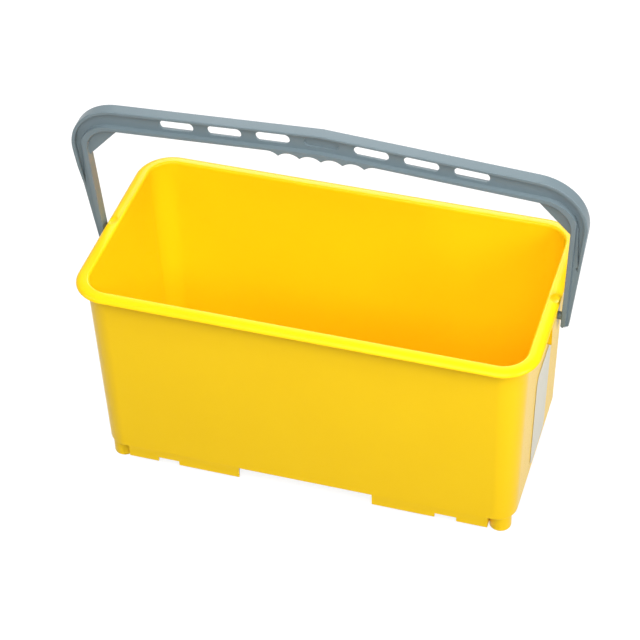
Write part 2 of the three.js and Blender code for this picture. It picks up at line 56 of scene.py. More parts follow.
# %% Place the camera
CAMERA_AZIMUTH = math.radians(18.20)
CAMERA_PITCH = math.radians(41.99)
CAMERA_ROLL = math.radians(-1.99)
CAMERA_DISTANCE = 2430.8 * MM
CAMERA_AIM = Vector((-12.3, 0.0, 166.2)) * MM
FOCAL_PIXELS = 2150.3
IMAGE_PIXELS = 640
SENSOR_WIDTH = 36.0


def camera_axes():
    """Right, up and backward of the camera, with its roll."""
    forward = Vector((
        -math.sin(CAMERA_AZIMUTH) * math.cos(CAMERA_PITCH),
        math.cos(CAMERA_AZIMUTH) * math.cos(CAMERA_PITCH),
        -math.sin(CAMERA_PITCH),
    ))
    level = Vector((math.cos(CAMERA_AZIMUTH), math.sin(CAMERA_AZIMUTH), 0.0))
    upright = level.cross(forward)
    right = level * math.cos(CAMERA_ROLL) + upright * math.sin(CAMERA_ROLL)
    up = upright * math.cos(CAMERA_ROLL) - level * math.sin(CAMERA_ROLL)
    return right, up, -forward


camera_data = bpy.data.cameras.new("photo_camera")
camera_data.sensor_width = SENSOR_WIDTH
camera_data.lens = FOCAL_PIXELS * SENSOR_WIDTH / IMAGE_PIXELS
camera = bpy.data.objects.new("photo_camera", camera_data)
bpy.context.scene.collection.objects.link(camera)
right, up, backward = camera_axes()
turn = Matrix((right, up, backward)).transposed()
camera.matrix_world = Matrix.Translation(CAMERA_AIM + backward * CAMERA_DISTANCE) @ turn.to_4x4()
bpy.context.scene.camera = camera
print("lens:", round(camera_data.lens, 1), "mm")

# %% [markdown]
# Materials
# Both mouldings are polypropylene. It comes out of a polished mould with a satin gloss, so it
# gives a broad soft highlight and a faint mirror of the studio at flat angles. Colour is mixed
# into the granulate, which leaves very slight clouds. One helper adds a node with its settings
# and its links, and one function turns a hex colour into the linear light that shaders work with.

# %% Helpers for materials
def hex_colour(code):
    """An sRGB hex colour as linear RGBA."""
    channels = [int(code[place:place + 2], 16) / 255 for place in (1, 3, 5)]
    linear = [c / 12.92 if c <= 0.04045 else ((c + 0.055) / 1.055) ** 2.4 for c in channels]
    return (*linear, 1.0)


def add_node(tree, kind, settings=None, inputs=None):
    """A node with its settings; each input gets a value, or a link from another node's output."""
    node = tree.nodes.new(kind)
    for name, value in (settings or {}).items():
        setattr(node, name, value)
    for name, value in (inputs or {}).items():
        if isinstance(value, bpy.types.NodeSocket):
            tree.links.new(value, node.inputs[name])
        else:
            node.inputs[name].default_value = value
    return node


def new_material(name):
    """An empty node material with its node tree."""
    material = bpy.data.materials.new(name)
    material.use_nodes = True
    material.node_tree.nodes.clear()
    return material, material.node_tree


def remap(tree, value, low, high):
    """A 0 to 1 pattern turned into a narrow range."""
    return add_node(
        tree,
        "ShaderNodeMapRange",
        inputs={"Value": value, "To Min": low, "To Max": high},
    ).outputs["Result"]


def dress(piece, material):
    """Give an object one material in place of what it has."""
    piece.data.materials.clear()
    piece.data.materials.append(material)


# %% Moulded polypropylene
CLOUD_DETAIL = 3.0
GRAIN_DETAIL = 4.0
GRAIN_STRENGTH = 0.4
PLASTIC_IOR = 1.49


def moulded_plastic(name, colours, cloud_size, grain_size, grain_depth, roughness, gloss):
    """Satin plastic: clouds of two colours, and the mould's fine grain in bump and roughness."""
    material, tree = new_material(name)
    place = add_node(tree, "ShaderNodeTexCoord").outputs["Object"]
    clouds = add_node(
        tree,
        "ShaderNodeTexNoise",
        inputs={"Vector": place, "Scale": 1 / cloud_size, "Detail": CLOUD_DETAIL},
    )
    grain = add_node(
        tree,
        "ShaderNodeTexNoise",
        inputs={"Vector": place, "Scale": 1 / grain_size, "Detail": GRAIN_DETAIL},
    )
    mixed = add_node(tree, "ShaderNodeMix", {"data_type": "RGBA"})
    tree.links.new(clouds.outputs["Fac"], mixed.inputs["Factor"])
    for socket, colour in zip(("A", "B"), colours):
        mixed.inputs[socket].default_value = hex_colour(colour)
    bump = add_node(
        tree,
        "ShaderNodeBump",
        inputs={
            "Height": grain.outputs["Fac"], "Distance": grain_depth, "Strength": GRAIN_STRENGTH
        },
    )
    shader = add_node(
        tree,
        "ShaderNodeBsdfPrincipled",
        inputs={
            "Roughness": remap(tree, grain.outputs["Fac"], *roughness),
            "IOR": PLASTIC_IOR,
            "Specular IOR Level": gloss,
            "Normal": bump.outputs["Normal"],
        },
    )
    colour_sockets = [socket for socket in mixed.outputs if socket.type == "RGBA"]
    tree.links.new(colour_sockets[0], shader.inputs["Base Color"])
    add_node(tree, "ShaderNodeOutputMaterial", inputs={"Surface": shader.outputs["BSDF"]})
    return material


yellow_plastic = moulded_plastic(
    "polypropylene_yellow_satin",
    colours=("#FFD313", "#FCCD0F"),
    cloud_size=90 * MM,
    grain_size=0.9 * MM,
    grain_depth=0.03 * MM,
    roughness=(0.24, 0.34),
    gloss=0.13,
)
grey_plastic = moulded_plastic(
    "polypropylene_grey_satin",
    colours=("#74838A", "#6C7C82"),
    cloud_size=60 * MM,
    grain_size=0.7 * MM,
    grain_depth=0.03 * MM,
    roughness=(0.26, 0.38),
    gloss=0.28,
)
label_film = moulded_plastic(
    "label_film_white",
    colours=("#DDD9C8", "#D6D2BE"),
    cloud_size=40 * MM,
    grain_size=0.5 * MM,
    grain_depth=0.01 * MM,
    roughness=(0.30, 0.38),
    gloss=0.17,
)

for node_name, material in (
    ("tub", yellow_plastic), ("bail_handle", grey_plastic), ("end_label", label_film)
):
    dress(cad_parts[node_name], material)
    print(node_name, "is made of", material.name)

# %% [markdown]
# Modelling helpers
# Everything below is made the way one would by hand: a primitive goes down at its size and place,
# some of its faces or edges are picked, and an edit mode tool shapes them. A tool acts on all that
# is selected, so each step first lets go of everything and then picks by place or direction.

# %% Pick, start and finish
SOFT_SEGMENTS = 2
SMOOTH_BELOW = math.radians(40)


def hold_only(piece):
    """Select one object, make it active, and let go of all others."""
    bpy.ops.object.select_all(action="DESELECT")
    piece.select_set(True)
    bpy.context.view_layer.objects.active = piece


def open_edit(piece, kind):
    """Edit mode on one object, ready to pick vertices (VERT), edges (EDGE) or faces (FACE)."""
    hold_only(piece)
    bpy.ops.object.mode_set(mode="EDIT")
    bpy.ops.mesh.select_mode(type=kind)


def close_edit():
    bpy.ops.object.mode_set(mode="OBJECT")


def pick(items, test):
    """Select the edited mesh's verts, edges or faces that pass a test, and nothing else."""
    bpy.ops.mesh.select_all(action="DESELECT")
    mesh = bmesh.from_edit_mesh(bpy.context.object.data)
    for item in getattr(mesh, items):
        if test(item):
            item.select_set(True)
    mesh.select_flush_mode()
    bmesh.update_edit_mesh(bpy.context.object.data)


def middle(item):
    """The middle of an edge or a face."""
    points = [vertex.co for vertex in item.verts]
    return sum(points, Vector()) / len(points)


def place_in_mesh(piece):
    """Move an object's place, turn and scale into its mesh."""
    hold_only(piece)
    bpy.ops.object.transform_apply(location=True, rotation=True, scale=True)


def block(low, high):
    """A box between its lowest and highest corner."""
    low, high = Vector(low), Vector(high)
    bpy.ops.mesh.primitive_cube_add(size=1.0, location=(low + high) / 2)
    piece = bpy.context.object
    piece.scale = high - low
    place_in_mesh(piece)
    return piece


def round_bar(centre, radius, length, turn=(0.0, 0.0, 0.0), sides=48):
    """A cylinder about a centre, along Z unless it is turned."""
    bpy.ops.mesh.primitive_cylinder_add(
        vertices=sides, radius=radius, depth=length, location=centre, rotation=turn
    )
    piece = bpy.context.object
    place_in_mesh(piece)
    return piece


def combine(piece, tool, operation):
    """Join (UNION) or cut (DIFFERENCE) by an applied Boolean, and throw the tool away."""
    hold_only(piece)
    modifier = piece.modifiers.new("combine", "BOOLEAN")
    modifier.operation = operation
    modifier.solver = "EXACT"
    modifier.object = tool
    bpy.ops.object.modifier_apply(modifier=modifier.name)
    bpy.data.objects.remove(tool, do_unlink=True)


def soften(piece, width, sharper_than):
    """Round the edges that are sharper than an angle."""
    hold_only(piece)
    bevel = piece.modifiers.new("moulded_edges", "BEVEL")
    bevel.limit_method = "ANGLE"
    bevel.angle_limit = sharper_than
    bevel.width = width
    bevel.segments = SOFT_SEGMENTS
    bevel.use_clamp_overlap = False
    bpy.ops.object.modifier_apply(modifier=bevel.name)


def shade(piece):
    """Shade the blunt edges as smooth, with the large flat faces leading."""
    hold_only(piece)
    weigh = piece.modifiers.new("flat_faces_lead", "WEIGHTED_NORMAL")
    bpy.ops.object.shade_smooth_by_angle(angle=SMOOTH_BELOW)
    weigh.keep_sharp = True
    bpy.ops.object.modifier_apply(modifier=weigh.name)


def tidy_mesh(piece, distance):
    """Merge doubles and point every face outwards."""
    open_edit(piece, "VERT")
    bpy.ops.mesh.select_all(action="SELECT")
    bpy.ops.mesh.remove_doubles(threshold=distance)
    bpy.ops.mesh.normals_make_consistent(inside=False)
    close_edit()


def say(piece):
    """Print a piece's size, and how many of its edges don't join exactly two faces."""
    mesh = bmesh.new()
    mesh.from_mesh(piece.data)
    loose = sum(1 for edge in mesh.edges if len(edge.link_faces) != 2)
    mesh.free()
    low, high = (
        [round(end(vertex.co[k] for vertex in piece.data.vertices) / MM, 1) for k in range(3)]
        for end in (min, max)
    )
    print(piece.name, len(piece.data.polygons), "faces,", loose, "open edges")
    print("    in mm from", low, "to", high)


# %% [markdown]
# The tub's shell
# One shot of plastic makes the walls, the floor, the rolled lip and the skirt, all of one even
# thickness with the same rounded plan. So the shell starts as one flat face, the plan at the lip's
# widest line. Insets carry that face over the lip and down the inside to the floor, and a second
# face goes under the lip and down the outside. Each inset is one step along the wall's section:
# how far in, and how far up or down.

# %% Sizes of the tub
RIM_LENGTH = 520 * MM
RIM_WIDTH = 265 * MM
RIM_HEIGHT = 261 * MM
RIM_CORNER_RADIUS = 42 * MM
LIP_OVERHANG = 12 * MM
LIP_DROP = 5.5 * MM
LIP_ROLL = 9 * MM
LIP_THICKNESS = 3 * MM
LIP_INNER_ROUND = 3 * MM
WALL_THICKNESS = 3 * MM
WALL_DRAFT = math.radians(1.4)
FLOOR_UNDERSIDE = 21.5 * MM
FLOOR_THICKNESS = 3 * MM
FLOOR_FILLET = 10 * MM
SKIRT_THICKNESS = 2.6 * MM
SKIRT_STEP = 0.3 * MM
BASE_EDGE_HEIGHT = 1.6 * MM
SKIRT_LOW_EDGE = 6 * MM
CORNER_SEGMENTS = 16
ROUND_SEGMENTS = 8
FACES_DOWN = 0.9

HALF_LENGTH = RIM_LENGTH / 2
HALF_WIDTH = RIM_WIDTH / 2
LIP_UNDERSIDE = RIM_HEIGHT - LIP_THICKNESS
LIP_BOTTOM = RIM_HEIGHT - LIP_DROP


def wall_outset(height):
    """How far the outside of the wall lies inside the rim's edge, as a negative outset."""
    return -LIP_OVERHANG - (LIP_UNDERSIDE - height) * math.tan(WALL_DRAFT)


def arc(centre, radii, start, stop):
    """Points of an arc in the wall's section, as outset and height."""
    points = []
    for step in range(ROUND_SEGMENTS + 1):
        angle = math.radians(start + (stop - start) * step / ROUND_SEGMENTS)
        points.append(
            (centre[0] + radii[0] * math.cos(angle), centre[1] + radii[1] * math.sin(angle))
        )
    return points


# %% The section, inside and outside
def inside_section():
    inner_top = wall_outset(RIM_HEIGHT) - WALL_THICKNESS + LIP_INNER_ROUND
    round_middle = (inner_top, RIM_HEIGHT - LIP_INNER_ROUND)
    fillet_top = FLOOR_UNDERSIDE + FLOOR_THICKNESS + FLOOR_FILLET
    fillet_middle = wall_outset(fillet_top) - WALL_THICKNESS - FLOOR_FILLET
    return [
        *arc((-LIP_ROLL, LIP_BOTTOM), (LIP_ROLL, LIP_DROP), 0, 90)[1:],
        *arc(round_middle, (LIP_INNER_ROUND, LIP_INNER_ROUND), 90, 180),
        *arc((fillet_middle, fillet_top), (FLOOR_FILLET, FLOOR_FILLET), 0, -90),
    ]


def outside_section():
    lip_radii = (LIP_ROLL - LIP_THICKNESS, LIP_DROP - LIP_THICKNESS)
    root = LIP_UNDERSIDE - LIP_THICKNESS / 2
    step_height = FLOOR_UNDERSIDE + BASE_EDGE_HEIGHT
    skirt_top = wall_outset(FLOOR_UNDERSIDE) - SKIRT_STEP
    skirt_low = wall_outset(SKIRT_LOW_EDGE) - SKIRT_STEP
    return [
        *arc((-LIP_ROLL, LIP_BOTTOM), lip_radii, 0, 90),
        (-LIP_OVERHANG + LIP_THICKNESS / 2, LIP_UNDERSIDE),
        (wall_outset(root), root),
        (wall_outset(step_height), step_height),
        (skirt_top, FLOOR_UNDERSIDE),
        (skirt_low, SKIRT_LOW_EDGE),
        (skirt_low - SKIRT_THICKNESS, SKIRT_LOW_EDGE),
        (skirt_low - SKIRT_THICKNESS, FLOOR_UNDERSIDE),
    ]


def follow(section, upwards):
    """Carry the picked face along a section by insets."""
    outset, height = 0.0, LIP_BOTTOM
    for next_outset, next_height in section:
        rise = (next_height - height) * (1 if upwards else -1)
        bpy.ops.mesh.inset(
            thickness=outset - next_outset, depth=rise, use_even_offset=True, use_boundary=True
        )
        outset, height = next_outset, next_height


# %% Sweep the shell
def make_shell():
    bpy.ops.mesh.primitive_plane_add(size=1.0, location=(0.0, 0.0, LIP_BOTTOM))
    shell = bpy.context.object
    shell.name = "moulded_tub"
    shell.scale = (RIM_LENGTH, RIM_WIDTH, 1.0)
    place_in_mesh(shell)
    open_edit(shell, "VERT")
    bpy.ops.mesh.select_all(action="SELECT")
    bpy.ops.mesh.bevel(
        affect="VERTICES", offset=RIM_CORNER_RADIUS, segments=CORNER_SEGMENTS, clamp_overlap=False
    )
    bpy.ops.mesh.select_mode(type="FACE")
    bpy.ops.mesh.select_all(action="SELECT")
    follow(inside_section(), upwards=True)
    bpy.ops.mesh.select_mode(type="EDGE")
    bpy.ops.mesh.select_all(action="DESELECT")
    bpy.ops.mesh.select_non_manifold()
    bpy.ops.mesh.edge_face_add()
    bpy.ops.mesh.select_all(action="SELECT")
    bpy.ops.mesh.normals_make_consistent(inside=False)
    bpy.ops.mesh.select_mode(type="FACE")
    pick("faces", lambda face: len(face.verts) > 4 and face.normal.z < -FACES_DOWN)
    follow(outside_section(), upwards=False)
    close_edit()
    return shell


tub_piece = make_shell()
say(tub_piece)

# %% [markdown]
# The base
# Water buckets of this kind stand on a skirt that is cut away in the middle, so that fingers reach
# under it for tipping, and on four round feet. The skirt hides the ribs under the floor. Blocks cut
# the notches, and round bars are joined for the feet and then bored.

# %% Sizes of the base
MIDDLE_NOTCH_HALF_WIDTH = 79 * MM
SMALL_NOTCH_START = 152.3 * MM
SMALL_NOTCH_WIDTH = 25.1 * MM
SMALL_NOTCH_HEIGHT = 6.1 * MM
CORNER_TAB_END = 28.4 * MM
FOOT_RADIUS = 12.4 * MM
FOOT_WALL = 3 * MM
FOOT_EDGE_ROUND = 1.6 * MM
FOOT_EDGE_SEGMENTS = 4
FOOT_INSET_X = 4.4 * MM
FOOT_INSET_Y = 3.5 * MM
RIB_THICKNESS = 2.2 * MM
RIB_DEPTH = 5 * MM
RIB_PITCH_X = 104 * MM
RIB_PLACES_X = (-1.5, -0.5, 0.5, 1.5)
RIB_PITCH_Y = 76 * MM
RIB_SETBACK = 9 * MM
BITE = 1 * MM
OVERRUN = 2 * MM
SIDES = (-1, 1)

BASE_HALF_LENGTH = HALF_LENGTH + wall_outset(0)
BASE_HALF_WIDTH = HALF_WIDTH + wall_outset(0)
FOOT_X = BASE_HALF_LENGTH - FOOT_INSET_X - FOOT_RADIUS
FOOT_Y = BASE_HALF_WIDTH - FOOT_INSET_Y - FOOT_RADIUS


# %% Notches in the skirt
def across(side, start, stop):
    """Two distances from the middle on one side, lowest first."""
    return sorted((side * start, side * stop))


def cut_notches(tub):
    inner_y = BASE_HALF_WIDTH - SKIRT_STEP - SKIRT_THICKNESS - OVERRUN
    small_top = SKIRT_LOW_EDGE + SMALL_NOTCH_HEIGHT
    for side in SIDES:
        y0, y1 = across(side, inner_y, HALF_WIDTH)
        half = MIDDLE_NOTCH_HALF_WIDTH
        tools = [((-half, y0, 0.0), (half, y1, FLOOR_UNDERSIDE))]
        for end in SIDES:
            x0, x1 = across(end, SMALL_NOTCH_START, SMALL_NOTCH_START + SMALL_NOTCH_WIDTH)
            tools.append(((x0, y0, 0.0), (x1, y1, small_top)))
        x0, x1 = across(side, BASE_HALF_LENGTH - CORNER_TAB_END, HALF_LENGTH)
        tools.append(((x0, -HALF_WIDTH, 0.0), (x1, HALF_WIDTH, FLOOR_UNDERSIDE)))
        for low, high in tools:
            combine(tub, block(low, high), "DIFFERENCE")


cut_notches(tub_piece)
say(tub_piece)


# %% Ribs, feet and the short walls beside them
def add_ribs(tub):
    reach_x = HALF_LENGTH + wall_outset(FLOOR_UNDERSIDE) - RIB_SETBACK
    reach_y = HALF_WIDTH + wall_outset(FLOOR_UNDERSIDE) - RIB_SETBACK
    low, high = FLOOR_UNDERSIDE - RIB_DEPTH, FLOOR_UNDERSIDE + BITE
    half = RIB_THICKNESS / 2
    for side in SIDES:
        y = side * RIB_PITCH_Y / 2
        combine(tub, block((-reach_x, y - half, low), (reach_x, y + half, high)), "UNION")
    for place in RIB_PLACES_X:
        x = place * RIB_PITCH_X
        combine(tub, block((x - half, -reach_y, low), (x + half, reach_y, high)), "UNION")


def make_foot(x, y):
    """A round bar under a corner, with the soft lower edge of a mould's bottom."""
    height = FLOOR_UNDERSIDE + BITE
    foot = round_bar((x, y, height / 2), FOOT_RADIUS, height)
    open_edit(foot, "EDGE")
    pick("edges", lambda edge: max(vertex.co.z for vertex in edge.verts) < BITE / 2)
    bpy.ops.mesh.bevel(affect="EDGES", offset=FOOT_EDGE_ROUND, segments=FOOT_EDGE_SEGMENTS)
    close_edit()
    return foot


def add_feet(tub):
    tab_end = BASE_HALF_LENGTH - CORNER_TAB_END
    skirt_inside = HALF_WIDTH + wall_outset(SKIRT_LOW_EDGE) - SKIRT_STEP - BITE
    bore_height = FLOOR_UNDERSIDE + OVERRUN
    for side_x in SIDES:
        x0, x1 = across(side_x, tab_end - SKIRT_THICKNESS, tab_end)
        for side_y in SIDES:
            x, y = side_x * FOOT_X, side_y * FOOT_Y
            combine(tub, make_foot(x, y), "UNION")
            y0, y1 = across(side_y, FOOT_Y, skirt_inside)
            wall = block((x0, y0, SKIRT_LOW_EDGE), (x1, y1, FLOOR_UNDERSIDE + BITE))
            combine(tub, wall, "UNION")
            bore_middle = (x, y, FLOOR_UNDERSIDE - bore_height / 2)
            bore = round_bar(bore_middle, FOOT_RADIUS - FOOT_WALL, bore_height)
            combine(tub, bore, "DIFFERENCE")


add_ribs(tub_piece)
add_feet(tub_piece)
say(tub_piece)

# %% [markdown]
# The pivot housings
# Under the lip at each end a pocket stands out from the wall. Its outer plate has the round hole
# that the handle's peg snaps into, and the lip above it is dimpled where the mould gives the peg
# room. The housing is a block with two rounded lower corners, hollowed from below.

# %% Sizes of the housings
PIVOT_BELOW_RIM = 23.5 * MM
HOUSING_HALF_WIDTH = 28 * MM
HOUSING_DEPTH = 23 * MM
HOUSING_SETBACK = 2 * MM
HOUSING_WALL = 3 * MM
HOUSING_CORNER = 6 * MM
HOUSING_CORNER_SEGMENTS = 8
PEG_HOLE_RADIUS = 4.9 * MM
DIMPLE_RADIUS = 18 * MM
DIMPLE_DEPTH = 2.4 * MM
DIMPLE_INSET = 2.5 * MM
DIMPLE_SEGMENTS = 64
DIMPLE_RINGS = 48

PIVOT_HEIGHT = RIM_HEIGHT - PIVOT_BELOW_RIM
HOUSING_FACE = HALF_LENGTH - HOUSING_SETBACK
ALONG_X = (0.0, math.pi / 2, 0.0)


# %% Housings, peg holes and dimples
def make_housing(side):
    bottom = PIVOT_HEIGHT - HOUSING_DEPTH
    wall = HALF_LENGTH + wall_outset(bottom) - BITE
    x0, x1 = across(side, wall, HOUSING_FACE)
    housing = block((x0, -HOUSING_HALF_WIDTH, bottom), (x1, HOUSING_HALF_WIDTH, LIP_UNDERSIDE))
    open_edit(housing, "EDGE")
    corner_low, corner_out = bottom + BITE, HOUSING_HALF_WIDTH - BITE
    pick(
        "edges",
        lambda edge: middle(edge).z < corner_low and abs(middle(edge).y) > corner_out,
    )
    bpy.ops.mesh.bevel(affect="EDGES", offset=HOUSING_CORNER, segments=HOUSING_CORNER_SEGMENTS)
    close_edit()
    x0, x1 = across(side, wall + BITE / 2, HOUSING_FACE - HOUSING_WALL)
    inner_y = HOUSING_HALF_WIDTH - HOUSING_WALL
    pocket = block(
        (x0, -inner_y, bottom - OVERRUN), (x1, inner_y, LIP_UNDERSIDE - HOUSING_WALL)
    )
    combine(housing, pocket, "DIFFERENCE")
    return housing


def add_housings(tub):
    for side in SIDES:
        combine(tub, make_housing(side), "UNION")
        hole_middle = (side * (HOUSING_FACE - HOUSING_WALL / 2), 0.0, PIVOT_HEIGHT)
        hole = round_bar(hole_middle, PEG_HOLE_RADIUS, HOUSING_WALL + 2 * OVERRUN, ALONG_X)
        combine(tub, hole, "DIFFERENCE")
        dimple_height = RIM_HEIGHT + DIMPLE_RADIUS - DIMPLE_DEPTH
        bpy.ops.mesh.primitive_uv_sphere_add(
            segments=DIMPLE_SEGMENTS,
            ring_count=DIMPLE_RINGS,
            radius=DIMPLE_RADIUS,
            location=(side * (HALF_LENGTH - DIMPLE_INSET), 0.0, dimple_height),
        )
        ball = bpy.context.object
        place_in_mesh(ball)
        combine(tub, ball, "DIFFERENCE")


add_housings(tub_piece)
say(tub_piece)

# %% Soften the tub's edges
TUB_EDGE_ROUND = 0.5 * MM
TUB_SHARP_ANGLE = math.radians(24)
MERGE_BEFORE_ROUND = 0.02 * MM
MERGE_AFTER_ROUND = 0.01 * MM
tidy_mesh(tub_piece, MERGE_BEFORE_ROUND)
soften(tub_piece, TUB_EDGE_ROUND, TUB_SHARP_ANGLE)
tidy_mesh(tub_piece, MERGE_AFTER_ROUND)
shade(tub_piece)
dress(tub_piece, yellow_plastic)
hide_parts("tub")
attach(tub_piece, "tub")
say(tub_piece)

# %% [markdown]
# The bail handle
# The handle is one moulding: a bar with a low crown, two bends and two arms, with flanges round a
# thin web so that it stays stiff and cools evenly. It is easiest to draw lying flat, with X along
# the pegs and Y up the arms, and to stand it up at the end. The outline is drawn corner by corner
# with one vertex that is extruded along, each corner is rounded by a vertex bevel, and the filled
# face is pulled up to the handle's depth. The round along the body's outer edges is smaller than
# the round of the grip's tips, or it would fold over itself there.

# %% Sizes of the handle
HANDLE_DEPTH = 13.5 * MM
FLANGE_THICKNESS = 3 * MM
WEB_THICKNESS = 2.6 * MM
HANDLE_EDGE_ROUND = 0.9 * MM
HANDLE_EDGE_SEGMENTS = 3
BAR_TOP = 204.6 * MM
BAR_HEIGHT = 28 * MM
BAR_CROWN = math.radians(3.32)
ARM_GAP = 4.6 * MM
ARM_WIDTH = 9.3 * MM
ARM_BELOW_PIVOT = 12.2 * MM
ARM_OUTER_SPLAY = math.radians(6.1)
ARM_INNER_SPLAY = math.radians(2.35)
ARM_CHANNEL_END = 78 * MM
ARM_STRIP_WIDTH = 5.5 * MM
ARM_RECESS = 3.2 * MM
ARM_FADE_LENGTH = 30 * MM
ARM_END_ROUND = 2.6 * MM
BEND_OUTER_RADIUS = 58 * MM
BEND_INNER_RADIUS = 32 * MM
BEND_FLANGE_THICKNESS = 4.2 * MM
BEND_WEB_REACH = 40 * MM
BEND_WEB_THICKNESS = 3.4 * MM
HANDLE_LEAN = math.radians(3.4)
BEND_SEGMENTS = 20
SMALL_SEGMENTS = 5
NEAR = 0.01 * MM

ARM_INNER_FACE = HOUSING_FACE + ARM_GAP


def top_edge(x, inset=0.0):
    return BAR_TOP - inset - math.tan(BAR_CROWN) * x


def bottom_edge(x, inset=0.0):
    return BAR_TOP - BAR_HEIGHT + inset - math.tan(BAR_CROWN) * x


def outer_edge(r, inset=0.0):
    return ARM_INNER_FACE + ARM_WIDTH - inset + math.tan(ARM_OUTER_SPLAY) * r


def inner_edge(r, inset=0.0):
    return ARM_INNER_FACE + inset + math.tan(ARM_INNER_SPLAY) * r


def bend_corner(bar_edge, arm_edge, inset=0.0):
    """Where a straight edge of the bar meets a straight edge of the arm."""
    slope = arm_edge(1.0, inset) - arm_edge(0.0, inset)
    crown = bar_edge(0.0, inset) - bar_edge(1.0, inset)
    r = (bar_edge(0.0, inset) - crown * arm_edge(0.0, inset)) / (1 + crown * slope)
    return arm_edge(r, inset), r


# %% Draw an outline and pull it up
def draw_slab(corners, low, high):
    """A slab over corners (x, y, radius), between two heights."""
    bpy.ops.mesh.primitive_plane_add(size=1.0, location=(0.0, 0.0, 0.0))
    piece = bpy.context.object
    open_edit(piece, "VERT")
    bpy.ops.mesh.select_all(action="SELECT")
    bpy.ops.mesh.merge(type="CENTER")
    points = [Vector((x, y, low)) for x, y, _ in corners]
    bpy.ops.transform.translate(value=points[0])
    for here, there in zip(points, points[1:]):
        bpy.ops.mesh.extrude_region_move(TRANSFORM_OT_translate={"value": there - here})
    ends = (points[0], points[-1])
    pick("verts", lambda vertex: min((vertex.co - end).length for end in ends) < NEAR)
    bpy.ops.mesh.edge_face_add()
    bpy.ops.mesh.select_all(action="SELECT")
    bpy.ops.mesh.edge_face_add()
    for index, (_, _, radius) in enumerate(corners):
        if radius:
            round_corner(points, index, radius)
    bpy.ops.mesh.select_mode(type="FACE")
    bpy.ops.mesh.select_all(action="SELECT")
    bpy.ops.mesh.extrude_region_move(TRANSFORM_OT_translate={"value": (0.0, 0.0, high - low)})
    bpy.ops.mesh.select_all(action="SELECT")
    bpy.ops.mesh.normals_make_consistent(inside=False)
    close_edit()
    return piece


def round_corner(points, index, radius):
    """Round one drawn corner; the bevel is measured along the two edges that meet there."""
    corner = points[index]
    back = (points[index - 1] - corner).normalized()
    ahead = (points[(index + 1) % len(points)] - corner).normalized()
    reach = radius / math.tan(back.angle(ahead) / 2)
    segments = BEND_SEGMENTS if radius > ARM_WIDTH else SMALL_SEGMENTS
    pick("verts", lambda vertex: (vertex.co - corner).length < NEAR)
    bpy.ops.mesh.bevel(affect="VERTICES", offset=reach, segments=segments, clamp_overlap=False)


def both_halves(right_half, inset, underside):
    """A crowned outline: its right half, the points under the bar, and the mirrored left half."""
    left_half = [(-x, y, radius) for x, y, radius in reversed(right_half)]
    return [(0.0, top_edge(0.0, inset), 0.0), *right_half, *underside, *left_half]


# %% The handle's body, with the finger grip
FINGER_PITCH = 23.6 * MM
FINGER_COUNT = 4
FINGER_DEPTH = 5.2 * MM
FINGER_TIP_ROUND = 1.3 * MM
SCOOP_SEGMENTS = 12
GRIP_CROWN = 0.3 * MM


def finger_scoops():
    """Points along the scooped underside, from its right end to its left; the tips are rounded."""
    half = FINGER_PITCH * (FINGER_COUNT + 1) / 2
    radius = (FINGER_PITCH ** 2 / 4 + FINGER_DEPTH ** 2) / (2 * FINGER_DEPTH)
    reach = math.asin(FINGER_PITCH / 2 / radius)
    points = []
    for finger in range(FINGER_COUNT + 1, -1, -1):
        centre_x = -half + finger * FINGER_PITCH
        centre_y = bottom_edge(half) - radius + GRIP_CROWN * (1 - (centre_x / half) ** 2)
        start = 0.0 if finger == FINGER_COUNT + 1 else -reach
        stop = 0.0 if finger == 0 else reach
        for step in range(SCOOP_SEGMENTS + 1):
            lean = start + (stop - start) * step / SCOOP_SEGMENTS
            x, y = centre_x - radius * math.sin(lean), centre_y + radius * math.cos(lean)
            if points and step == 0:
                points[-1] = (x, y, FINGER_TIP_ROUND)
            else:
                points.append((x, y, 0.0))
    return points


def body_outline():
    low = -ARM_BELOW_PIVOT
    right_half = [
        (*bend_corner(top_edge, outer_edge), BEND_OUTER_RADIUS),
        (outer_edge(low), low, ARM_END_ROUND),
        (inner_edge(low), low, ARM_END_ROUND),
        (*bend_corner(bottom_edge, inner_edge), BEND_INNER_RADIUS),
    ]
    return both_halves(right_half, 0.0, finger_scoops())


def make_handle_body():
    half_depth = HANDLE_DEPTH / 2
    body = draw_slab(body_outline(), -half_depth, half_depth)
    body.name = "moulded_handle"
    open_edit(body, "EDGE")
    pick("edges", lambda edge: abs(middle(edge).z) > half_depth - NEAR)
    bpy.ops.mesh.bevel(
        affect="EDGES",
        offset=HANDLE_EDGE_ROUND,
        segments=HANDLE_EDGE_SEGMENTS,
        clamp_overlap=False,
    )
    close_edit()
    return body


handle_piece = make_handle_body()
say(handle_piece)

# %% [markdown]
# Channels, webs and slots
# The mould leaves a channel in each face between the flanges. It narrows to a point beside the
# outer flange of each arm, and below that the arm steps down beside one proud strip. Flat webs
# brace the inside of the bends. Six slots go through the bar's web, and a seventh in the middle is
# blind. Then a bevel softens all edges so far. The notch at each arm's end is too narrow for the
# bevel, so it is cut last.

# %% Channels and arm steps
def channel_outline():
    thick = BEND_FLANGE_THICKNESS
    point = (outer_edge(ARM_CHANNEL_END, FLANGE_THICKNESS), ARM_CHANNEL_END, 0.0)
    strip_corner = bend_corner(bottom_edge, inner_edge, ARM_STRIP_WIDTH)
    return both_halves(
        [
            (*bend_corner(top_edge, outer_edge, thick), BEND_OUTER_RADIUS - thick),
            point,
            (*strip_corner, BEND_INNER_RADIUS + ARM_STRIP_WIDTH),
        ],
        FLANGE_THICKNESS,
        [(0.0, bottom_edge(0.0, FLANGE_THICKNESS), 0.0)],
    )


